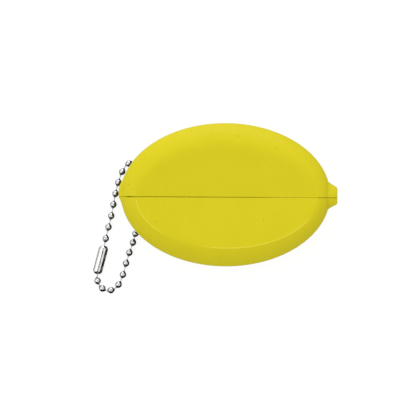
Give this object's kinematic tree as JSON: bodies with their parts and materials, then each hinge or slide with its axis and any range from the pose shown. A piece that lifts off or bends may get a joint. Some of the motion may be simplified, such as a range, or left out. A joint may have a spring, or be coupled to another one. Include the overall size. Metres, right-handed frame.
{
  "type": "squeeze coin purse",
  "caption": "Oval squeeze coin purse of soft vinyl with a slit front whose lips swing open, and a folding ball chain loop with a rolled connector, threaded through its back.",
  "frame": {"origin": "middle of the flat that the back rests on", "axes": "+X along the slit towards the end tab, +Y across the slit, +Z out of the front through the slit"},
  "size_m": [0.086, 0.0603, 0.014],
  "materials": {
    "vinyl": "satin yellow soft vinyl",
    "nickel": "polished nickel plate"
  },
  "bodies": {
    "pouch": {"pouch_shell": "vinyl", "bead_01": "nickel", "bead_02": "nickel", "bead_03": "nickel", "bead_04": "nickel", "bead_05": "nickel", "bead_06": "nickel", "bead_23": "nickel", "bead_24": "nickel", "bead_25": "nickel", "bead_26": "nickel", "bead_27": "nickel", "link_27": "nickel", "link_01": "nickel", "link_02": "nickel", "link_03": "nickel", "link_04": "nickel", "link_05": "nickel", "link_06": "nickel", "link_22": "nickel", "link_23": "nickel", "link_24": "nickel", "link_25": "nickel", "link_26": "nickel"},
    "upper_lip": {"upper_lip": "vinyl"},
    "lower_lip": {"lower_lip": "vinyl"},
    "chain_near": {"bead_07": "nickel", "bead_08": "nickel", "bead_22": "nickel", "link_07": "nickel", "link_08": "nickel", "link_21": "nickel"},
    "chain_upper": {"bead_09": "nickel", "bead_10": "nickel", "bead_21": "nickel", "link_09": "nickel", "link_10": "nickel", "link_20": "nickel"},
    "chain_lower": {"bead_11": "nickel", "bead_12": "nickel", "bead_20": "nickel", "link_11": "nickel", "link_12": "nickel", "link_19": "nickel"},
    "chain_end": {"bead_13": "nickel", "bead_14": "nickel", "bead_15": "nickel", "bead_16": "nickel", "bead_17": "nickel", "bead_18": "nickel", "bead_19": "nickel", "link_14": "nickel", "link_15": "nickel", "link_16": "nickel", "link_17": "nickel", "link_18": "nickel"},
    "connector": {"connector": "nickel"}
  },
  "joints": [
    {"name": "upper_lip_hinge", "type": "hinge", "parent": "pouch", "child": "upper_lip", "pos_m": [0.0004, 0.0175, 0.014], "axis": [-1, 0, 0], "range_deg": [0, 50], "stiffness_Nm_per_rad": 0.02},
    {"name": "lower_lip_hinge", "type": "hinge", "parent": "pouch", "child": "lower_lip", "pos_m": [0.0004, -0.0193, 0.014], "axis": [1, 0, 0], "range_deg": [0, 50], "stiffness_Nm_per_rad": 0.02},
    {"name": "chain_fold_1", "type": "hinge", "parent": "pouch", "child": "chain_near", "pos_m": [-0.03487, -0.00542, 0.0012], "axis": [-0.2432, 0.97, 0], "range_deg": [-20, 20]},
    {"name": "chain_fold_2", "type": "hinge", "parent": "chain_near", "child": "chain_upper", "pos_m": [-0.03638, -0.0111, 0.0012], "axis": [-0.3278, 0.9447, 0], "range_deg": [-20, 20]},
    {"name": "chain_fold_3", "type": "hinge", "parent": "chain_upper", "child": "chain_lower", "pos_m": [-0.0378, -0.01697, 0.0012], "axis": [-0.4443, 0.8959, 0], "range_deg": [-20, 20]},
    {"name": "chain_fold_4", "type": "hinge", "parent": "chain_lower", "child": "chain_end", "pos_m": [-0.03921, -0.02299, 0.00142], "axis": [-0.6303, 0.7754, 0.0386], "range_deg": [-20, 20]},
    {"name": "connector_spin", "type": "hinge", "parent": "chain_end", "child": "connector", "pos_m": [-0.04392, -0.02319, 0.0017], "axis": [-0.2501, -0.9682, 0], "continuous": true}
  ],
  "couplings": [
    {"joint": "lower_lip_hinge", "follows": "upper_lip_hinge", "ratio": 1}
  ]
}
